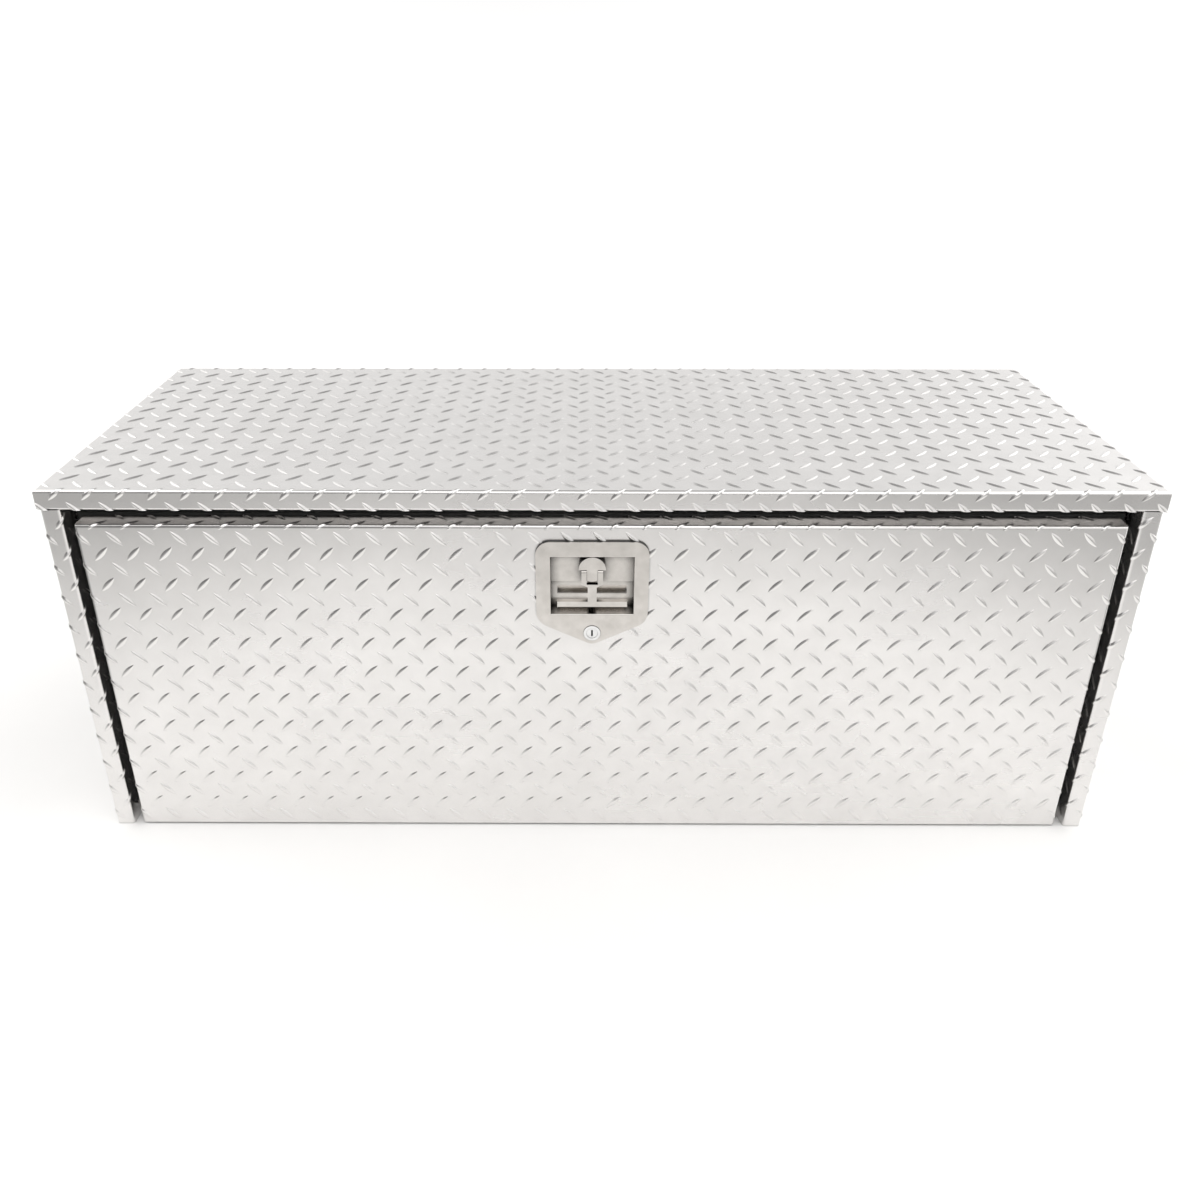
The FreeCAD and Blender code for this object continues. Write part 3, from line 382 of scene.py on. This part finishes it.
end_down = -(door_half_v - CUT_EDGE)
spots = lattice((-end_u, end_u), (end_down, end_up), (DOOR_ANCHOR[0], DOOR_ANCHOR[1] - door_middle))
spots = spots[~over_the_cut(spots)]
over_side = np.abs(spots[:, 0]) > door_half_u - BEND_IN - LONG / 2
on_face = np.abs(spots[:, 1]) < door_half_v - BEND_IN
u, v, height = laid_out(spots[~over_side])
v = np.clip(v, end_down, end_up)
z, depth = folded(v, door_half_v, BEND_IN, height)
face_and_top = np.stack([u, door_front + depth, door_middle + z], -1)
u, v, height = laid_out(spots[over_side & on_face])
u = np.clip(u, -end_u, end_u)
v = np.clip(v, end_down, door_half_v)
x, depth = folded(u, door_half_u, BEND_IN, height)
both_sides = np.stack([x, door_front + depth, door_middle + v], -1)

tread_sheet(
    "door_skin",
    "door",
    [
        (0, SKIN_HIGH.x, 1, BEND),
        (0, -SKIN_HIGH.x, -1, BEND),
        (1, SKIN_LOW.y, -1, BEND),
        (2, SKIN_HIGH.z, 1, BEND),
        (2, SKIN_LOW.z, -1, THIN),
    ],
    [face_and_top, both_sides],
)

# %% [markdown]
# Each side panel is folded twice at the front: once to make the narrow frame beside the door,
# and again to line the opening. The walk starts in the middle of the frame and goes both ways,
# a long way back along the outside and a short way into the opening. The rows of the frame line
# up with those of the door, counted in whole steps of the pattern.

# %% The two side panels
FRAME_WIDE = 24.0 * MM
LINING_DEPTH = 37.0 * MM
LAST_ROW = 33
END_GAP = 0.2 * MM
frame_half = FRAME_WIDE / 2 - TREAD
frame_middle = SIDE_HIGH.x - FRAME_WIDE / 2
frame_front = SIDE_LOW.y + TREAD
end_out = walk_to_depth(frame_half, BEND_IN, SIDE_HIGH.y - frame_front)
end_in = -walk_to_depth(frame_half, BEND_IN, LINING_DEPTH)
for name, side in (("left_side_panel", -1), ("right_side_panel", 1)):
    rows = LAST_ROW if side > 0 else -1
    anchor_u = side * (DOOR_ANCHOR[0] + rows * PITCH_U) - frame_middle
    spots = lattice((end_in, end_out), (0, LIP_BOTTOM), (anchor_u, DOOR_ANCHOR[1]))
    if side < 0:
        spots[:, 2] *= -1
    u, v, height = laid_out(spots)
    u = np.clip(u, end_in, end_out)
    v = np.clip(v, 0, LIP_BOTTOM - END_GAP)
    along, depth = folded(u, frame_half, BEND_IN, height)
    points = np.stack([side * (frame_middle + along), frame_front + depth, v], -1)
    outer = side * SIDE_HIGH.x
    tread_sheet(
        name,
        "box",
        [
            (0, outer, side, BEND),
            (0, side * (SIDE_HIGH.x - FRAME_WIDE), -side, BEND),
            (1, SIDE_LOW.y, -1, BEND),
        ],
        [points],
    )

# %% [markdown]
# The back and the floor are flat pieces of the same plate with the pattern outwards, so the
# inside of the box stays smooth and nothing rattles on it.

# %% The back panel and the floor
SHEET = 3.2 * MM
spots = lattice((BACK_LOW.x, BACK_HIGH.x), (0, LIP_BOTTOM), DOOR_ANCHOR)
u, v, height = laid_out(spots)
u = np.clip(u, BACK_LOW.x, BACK_HIGH.x)
v = np.clip(v, 0, LIP_BOTTOM - END_GAP)
points = np.stack([u, BACK_HIGH.y - TREAD + height, v], -1)
tread_sheet("back_panel", "box", [(1, BACK_HIGH.y, 1, THIN)], [points])

spots = lattice((FLOOR_LOW.x, FLOOR_HIGH.x), (FLOOR_LOW.y, FLOOR_HIGH.y), (DOOR_ANCHOR[0], 0.0))
u, v, height = laid_out(spots)
u = np.clip(u, FLOOR_LOW.x, FLOOR_HIGH.x)
v = np.clip(v, FLOOR_LOW.y + SHEET, FLOOR_HIGH.y)
points = np.stack([u, v, TREAD - height], -1)
tread_sheet("floor_panel", "box", [(2, 0.0, -1, THIN)], [points])

# %% [markdown]
# The smaller parts keep their design meshes. Their edges are perfectly sharp there, and a
# perfectly sharp edge never catches the light, so each gets a bevel modifier sized to the part:
# generous on rubber, fine on sheet steel. The widths below are millimetres.

# %% Soften the edges of the smaller parts
def soften(node, width):
    """Adds a bevel to the sharp edges of a design node."""
    piece = nodes[node]
    bevel = piece.modifiers.new("soft edges", "BEVEL")
    bevel.width = width
    bevel.segments = 2
    bevel.limit_method = "ANGLE"
    bevel.angle_limit = math.radians(35)
    even_shading(piece)


SOFT = {
    "latch_pan": 0.25,
    "t_handle": 0.6,
    "latch_spindle": 1.2,
    "handle_pivot_pin": 0.2,
    "lock_barrel": 0.5,
    "lock_plug": 0.2,
    "lock_nut": 0.3,
    "lock_tongue": 0.3,
    "tongue_screw": 0.4,
    "lock_dog": 0.3,
    "latch_cam": 0.4,
    "spindle_spacer": 0.3,
    "cam_washer": 0.2,
    "cam_nut": 0.4,
    "latch_studs": 0.2,
    "latch_nuts": 0.3,
    "spindle_bushing": 0.3,
    "strike_plate": 0.3,
    "hinge_rail": 0.4,
    "hinge_body_leaf": 0.15,
    "hinge_door_leaf": 0.15,
    "hinge_body_rivets": 0.45,
    "left_door_stiffener": 0.3,
    "right_door_stiffener": 0.3,
    "left_body_stay_tab": 0.3,
    "right_body_stay_tab": 0.3,
    "left_door_stay_tab": 0.3,
    "right_door_stay_tab": 0.3,
    "door_top_stop": 0.4,
    "door_seal": 0.8,
}
for node, width in SOFT.items():
    soften(node, width * MM)
print("softened", len(SOFT), "parts")

# %% [markdown]
# The gasket under the latch plate is soft, so on the real door it is squeezed over the lozenges
# until it touches the sheet between them. The design gasket stops at the lozenge tops. A copy
# with its back face moved down to the sunk sheet closes the gap, and the lozenges under it
# vanish into the rubber as they should.

# %% The squeezed gasket
gasket_mesh = nodes["latch_gasket"].data.copy()
gasket_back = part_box("latch_gasket")[1][1]
SQUEEZE = TREAD + 0.05 * MM
NEAR_BACK = 0.1 * MM
for vertex in gasket_mesh.vertices:
    if vertex.co.y > gasket_back - NEAR_BACK:
        vertex.co.y += SQUEEZE
gasket = new_piece("squeezed_gasket", gasket_mesh, "door", "seal_rubber")
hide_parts("latch_gasket")
even_shading(gasket)
print("gasket's back at", round(max(vertex.co.y for vertex in gasket_mesh.vertices), 5))

# %% [markdown]
# Every finish here is a small node tree, and all of them need the same few things: an empty
# material with a shader, a noise, a way to map it to a useful range, and a colour between two.
# Each gets a short function, so that the finishes themselves read like a recipe. Noise is used
# instead of pictures because it has no seams and suits a part of any size.

# %% Helpers for materials
def start_material(name):
    """An empty node material with its output and a principled shader."""
    material = bpy.data.materials.new(name)
    material.use_nodes = True
    tree = material.node_tree
    tree.nodes.clear()
    output = tree.nodes.new("ShaderNodeOutputMaterial")
    shader = tree.nodes.new("ShaderNodeBsdfPrincipled")
    tree.links.new(shader.outputs["BSDF"], output.inputs["Surface"])
    return material, tree, shader


def noise(tree, scale, detail=4.0, stretch=(1, 1, 1), roughness=0.5):
    """A noise texture on object coordinates, stretched along the axes."""
    place = tree.nodes.new("ShaderNodeTexCoord")
    mapping = tree.nodes.new("ShaderNodeMapping")
    mapping.inputs["Scale"].default_value = stretch
    texture = tree.nodes.new("ShaderNodeTexNoise")
    texture.inputs["Scale"].default_value = scale
    texture.inputs["Detail"].default_value = detail
    texture.inputs["Roughness"].default_value = roughness
    tree.links.new(place.outputs["Object"], mapping.inputs["Vector"])
    tree.links.new(mapping.outputs["Vector"], texture.inputs["Vector"])
    return texture.outputs["Fac"]


def spread(tree, source, low, high, start=0.3, end=0.7):
    """Maps a value from one range to another."""
    node = tree.nodes.new("ShaderNodeMapRange")
    node.inputs["From Min"].default_value = start
    node.inputs["From Max"].default_value = end
    node.inputs["To Min"].default_value = low
    node.inputs["To Max"].default_value = high
    tree.links.new(source, node.inputs["Value"])
    return node.outputs["Result"]


# %% [markdown]
# The second handful combines values: a sum or product of two, a colour picked by a value, and a
# bump, which tilts the shading a little without moving the surface.

# %% Sums, colours and bumps
def arithmetic(tree, operation, a, b):
    """A maths node between two values, either of which may be a number."""
    node = tree.nodes.new("ShaderNodeMath")
    node.operation = operation
    for socket, value in zip(node.inputs, (a, b)):
        if isinstance(value, (int, float)):
            socket.default_value = value
        else:
            tree.links.new(value, socket)
    return node.outputs["Value"]


def tinted(tree, source, dark, light):
    """A colour between two, picked by a value."""
    node = tree.nodes.new("ShaderNodeMix")
    node.data_type = "RGBA"
    node.inputs["A"].default_value = (*dark, 1)
    node.inputs["B"].default_value = (*light, 1)
    tree.links.new(source, node.inputs["Factor"])
    return node.outputs["Result"]


def bumped(tree, shader, source, distance, strength):
    """Gives the shader a bump from a value."""
    node = tree.nodes.new("ShaderNodeBump")
    node.inputs["Distance"].default_value = distance
    node.inputs["Strength"].default_value = strength
    tree.links.new(source, node.inputs["Height"])
    tree.links.new(node.outputs["Normal"], shader.inputs["Normal"])


# %% [markdown]
# Little light gets into inside corners, so the shade there is painted into the colour of a part.
# An ambient occlusion node finds those corners from the shapes themselves, so the painted shade
# stays right when a part is changed.

# %% Shade for inside corners
def painted_corner_shade(tree, reach, darkest):
    """A value that falls below one in inside corners: painted shade, where light doesn't reach."""
    node = tree.nodes.new("ShaderNodeAmbientOcclusion")
    node.samples = 8
    node.inputs["Distance"].default_value = reach
    return spread(tree, node.outputs["AO"], darkest, 1.0, 0.35, 0.95)


def darkened(tree, colour, factor):
    """A colour multiplied by a value."""
    node = tree.nodes.new("ShaderNodeMix")
    node.data_type = "RGBA"
    node.blend_type = "MULTIPLY"
    node.inputs["Factor"].default_value = 1.0
    tree.links.new(colour, node.inputs["A"])
    tree.links.new(factor, node.inputs["B"])
    return node.outputs["Result"]


# %% [markdown]
# Rolled aluminium is bright but never a clean mirror. The rollers leave faint long streaks and
# the shop leaves wipe marks. The finish below is one metal with smears in its colour, broad
# patches and streaks along X in its roughness, and a very low waviness in the surface that makes
# reflections wander as they do on real sheet.

# %% The tread plate finish
def make_tread_plate():
    """Bright rolled aluminium with streaks, wipe marks and a slight waviness."""
    material, tree, shader = start_material("bright_tread_plate")
    shader.inputs["Metallic"].default_value = 1.0
    patches = noise(tree, 5.0, 5.0)
    streaks = noise(tree, 30.0, 6.0, (0.08, 1, 1))
    smears = noise(tree, 22.0, 8.0, (1, 1, 1), 0.65)
    smeared = spread(tree, smears, 0, 1, 0.15, 0.85)
    colour = tinted(tree, smeared, (0.75, 0.736, 0.724), (0.87, 0.856, 0.844))
    # Painted shade: the colour darkens in inside corners, such as at the feet of the lozenges and in
    # the bends.
    painted_shade = painted_corner_shade(tree, 3.0 * MM, 0.55)
    tree.links.new(darkened(tree, colour, painted_shade), shader.inputs["Base Color"])
    rough = arithmetic(tree, "ADD", spread(tree, patches, 0.17, 0.27), spread(tree, streaks, 0, 0.06))
    tree.links.new(rough, shader.inputs["Roughness"])
    wavy = noise(tree, 9.0, 2.0)
    grain = noise(tree, 900.0, 3.0, (0.15, 1, 1))
    height = arithmetic(tree, "ADD", wavy, arithmetic(tree, "MULTIPLY", grain, 0.012))
    bumped(tree, shader, height, 0.2 * MM, 0.4)
    return material


# %% [markdown]
# The latch is pressed from stainless sheet and polished, so it is darker and smoother than the
# aluminium round it. Its polish leaves fine hairlines. The fasteners behind it are zinc plated,
# the bearing is sintered bronze, the lock is chromed, and the seals are black rubber.

# %% The other finishes
def make_metal(name, dark, light, rough):
    """A metal with mottled colour, uneven roughness and fine hairlines."""
    material, tree, shader = start_material(name)
    shader.inputs["Metallic"].default_value = 1.0
    mottle = noise(tree, 60.0, 6.0, (1, 1, 1), 0.6)
    colour = tinted(tree, spread(tree, mottle, 0, 1), dark, light)
    # Painted shade: the colour darkens in inside corners within 12 mm, down to 0.07 of itself.
    shaded = darkened(tree, colour, painted_corner_shade(tree, 12 * MM, 0.07))
    tree.links.new(shaded, shader.inputs["Base Color"])
    patches = noise(tree, 35.0, 4.0)
    tree.links.new(spread(tree, patches, rough[0], rough[1]), shader.inputs["Roughness"])
    hairlines = noise(tree, 700.0, 3.0, (1, 1, 0.1))
    bumped(tree, shader, hairlines, 0.03 * MM, 0.4)
    return material


def make_rubber():
    """Black closed-cell rubber with a fine, dusty skin."""
    material, tree, shader = start_material("black_rubber")
    dust = noise(tree, 40.0, 6.0)
    colour = tinted(tree, spread(tree, dust, 0, 1), (0.008, 0.008, 0.008), (0.022, 0.022, 0.021))
    tree.links.new(colour, shader.inputs["Base Color"])
    tree.links.new(spread(tree, dust, 0.55, 0.8), shader.inputs["Roughness"])
    bumped(tree, shader, noise(tree, 1800.0, 2.0), 0.1 * MM, 0.5)
    return material


FINISHES = {
    "tread_plate": make_tread_plate(),
    "seal_rubber": make_rubber(),
}
METALS = {
    "plain_aluminium": ("mill_aluminium", (0.55, 0.55, 0.55), (0.75, 0.75, 0.74), (0.32, 0.48)),
    "stainless_steel": (
        "polished_stainless",
        (0.56, 0.535, 0.505),
        (0.70, 0.672, 0.64),
        (0.10, 0.20),
    ),
    "rivet_aluminium": ("rivet_heads", (0.62, 0.62, 0.62), (0.80, 0.80, 0.80), (0.25, 0.40)),
    "zinc_steel": ("zinc_plate", (0.48, 0.49, 0.48), (0.66, 0.67, 0.64), (0.25, 0.42)),
    "bronze": ("sintered_bronze", (0.36, 0.24, 0.11), (0.52, 0.37, 0.19), (0.35, 0.5)),
    "lock_chrome": ("satin_chrome", (0.68, 0.68, 0.68), (0.84, 0.84, 0.84), (0.08, 0.18)),
}
for slot_name, recipe in METALS.items():
    FINISHES[slot_name] = make_metal(*recipe)
print("finishes", sorted(FINISHES))

# %% [markdown]
# Each part in the design names the slot its finish goes in, and so does each new piece. Two
# loops put the finishes on, so a change to one finish reaches every part made of that metal.

# %% Put the finishes on
def dress(piece, material):
    """Puts one material on every slot of a piece."""
    if not piece.material_slots:
        piece.data.materials.append(material)
    for place in piece.material_slots:
        place.material = material


for entry in frame["record"]["subparts"]:
    dress(nodes[entry["node"]], FINISHES[entry["material_slot"]])
for piece in bpy.context.scene.objects:
    if piece.type == "MESH" and "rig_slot" in piece:
        dress(piece, FINISHES[piece["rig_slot"]])

# %% [markdown]
# Polished metal shows its surroundings more than itself. Lamps would leave hard spots on it, so
# the whole sky is the light here, as inside a tent of white cloth. The cloth is dimmer in four
# places: low on the left, which turns one flank of each lozenge on the door dark; low on the
# right; behind the box, which the top mirrors; and high up, a little towards the back, which
# draws the lozenges on the top. The pale floor's own colour is made darker away from the door,
# as if the light fell off there. The door mirrors that floor, which is why its upper half looks
# greyer than its lower half.

# %% The floor
FLOOR_HALF = 9
FLOOR_DARKEST = 0.36
floor_mesh = bpy.data.meshes.new("studio_floor")
floor_corners = [(FLOOR_HALF * x, FLOOR_HALF * y, 0) for x, y in ((-1, -1), (1, -1), (1, 1), (-1, 1))]
floor_mesh.from_pydata(floor_corners, [], [(0, 1, 2, 3)])
floor = bpy.data.objects.new("studio_floor", floor_mesh)
bpy.context.scene.collection.objects.link(floor)
floor_material, tree, shader = start_material("pale_floor")
shader.inputs["Roughness"].default_value = 0.9
shader.inputs["Specular IOR Level"].default_value = 0.1
tone = spread(tree, noise(tree, 3.0, 4.0), 0.90, 0.93)
spot = tree.nodes.new("ShaderNodeTexCoord")
parts = tree.nodes.new("ShaderNodeSeparateXYZ")
tree.links.new(spot.outputs["Object"], parts.inputs["Vector"])


def beyond(x_weight, y_weight, start, end, darkest):
    """One where the floor is near the box, falling off past a line on one side."""
    across = arithmetic(tree, "MULTIPLY", parts.outputs["X"], x_weight)
    along = arithmetic(tree, "MULTIPLY", parts.outputs["Y"], y_weight)
    return spread(tree, arithmetic(tree, "ADD", across, along), 1.0, darkest, start, end)


in_front = beyond(0.0, -1.0, 0.72, 1.7, 0.38)
on_left = beyond(-1.0, -0.54, 0.90, 1.7, 0.58)
on_right = beyond(1.0, -0.54, 0.90, 1.7, 0.58)
shade = arithmetic(tree, "MULTIPLY", in_front, arithmetic(tree, "MULTIPLY", on_left, on_right))
never_darker = arithmetic(tree, "MAXIMUM", shade, FLOOR_DARKEST)
level = arithmetic(tree, "MULTIPLY", tone, never_darker)
tree.links.new(tinted(tree, level, (0, 0, 0), (1, 0.995, 0.985)), shader.inputs["Base Color"])
floor_mesh.materials.append(floor_material)
print("floor is", 2 * FLOOR_HALF, "metres square")

# %% [markdown]
# The sky is a world shader whose strength depends on the direction. Each dim place is a lobe:
# the closer a direction is to the middle of the lobe, the dimmer the sky. The directions belong
# to the room, so the shade stays where it is when one walks round the box.

# %% The sky
world = bpy.data.worlds.new("soft_sky")
bpy.context.scene.world = world
world.use_nodes = True
sky = world.node_tree
sky.nodes.clear()
world_output = sky.nodes.new("ShaderNodeOutputWorld")
background = sky.nodes.new("ShaderNodeBackground")
way = sky.nodes.new("ShaderNodeTexCoord")


def lobe(towards, edge, core, far, near):
    """A value that changes from far to near around one direction of the sky."""
    facing = sky.nodes.new("ShaderNodeVectorMath")
    facing.operation = "DOT_PRODUCT"
    facing.inputs[1].default_value = Vector(towards).normalized()
    sky.links.new(way.outputs["Generated"], facing.inputs[0])
    return spread(sky, facing.outputs["Value"], far, near, edge, core)


dim_left = lobe((-0.66, -0.72, 0.08), 0.52, 0.90, 1.0, 0.10)
dim_right = lobe((0.70, -0.70, 0.10), 0.62, 0.92, 1.0, 0.45)
dim_back = lobe((-0.05, 0.88, 0.47), 0.50, 0.93, 1.0, 0.42)
dim_above = lobe((0.0, 0.35, 0.94), 0.80, 0.94, 1.0, 0.30)
sides = arithmetic(sky, "MULTIPLY", dim_left, dim_right)
calm = arithmetic(sky, "MULTIPLY", arithmetic(sky, "MULTIPLY", sides, dim_back), dim_above)
SKY_STRENGTH = 2.12
sky.links.new(arithmetic(sky, "MULTIPLY", calm, SKY_STRENGTH), background.inputs["Strength"])
background.inputs["Color"].default_value = (1, 0.995, 0.99, 1)
sky.links.new(background.outputs["Background"], world_output.inputs["Surface"])
print("sky strength", SKY_STRENGTH)

# %% [markdown]
# The camera stands a little above the box and close to it, so the box's back edge looks much
# shorter than its front. Near is what makes a long box look long. The small lens shift sets the
# box in the picture without turning the camera.

# %% The camera and the picture
camera_data = bpy.data.cameras.new("camera")
camera_data.sensor_width = 36
camera_data.lens = 31.36
camera_data.shift_x = 0.0158
camera_data.shift_y = -0.0436
camera = bpy.data.objects.new("camera", camera_data)
camera.location = (-0.0156, -1.2535, 0.8948)
camera.rotation_euler = Euler((PI / 2 - 0.458, 0.0004, 0.005), "XYZ")
bpy.context.scene.collection.objects.link(camera)
bpy.context.scene.camera = camera
bpy.context.scene.view_settings.view_transform = "Standard"
print("camera stands at", tuple(round(place, 3) for place in camera.location))
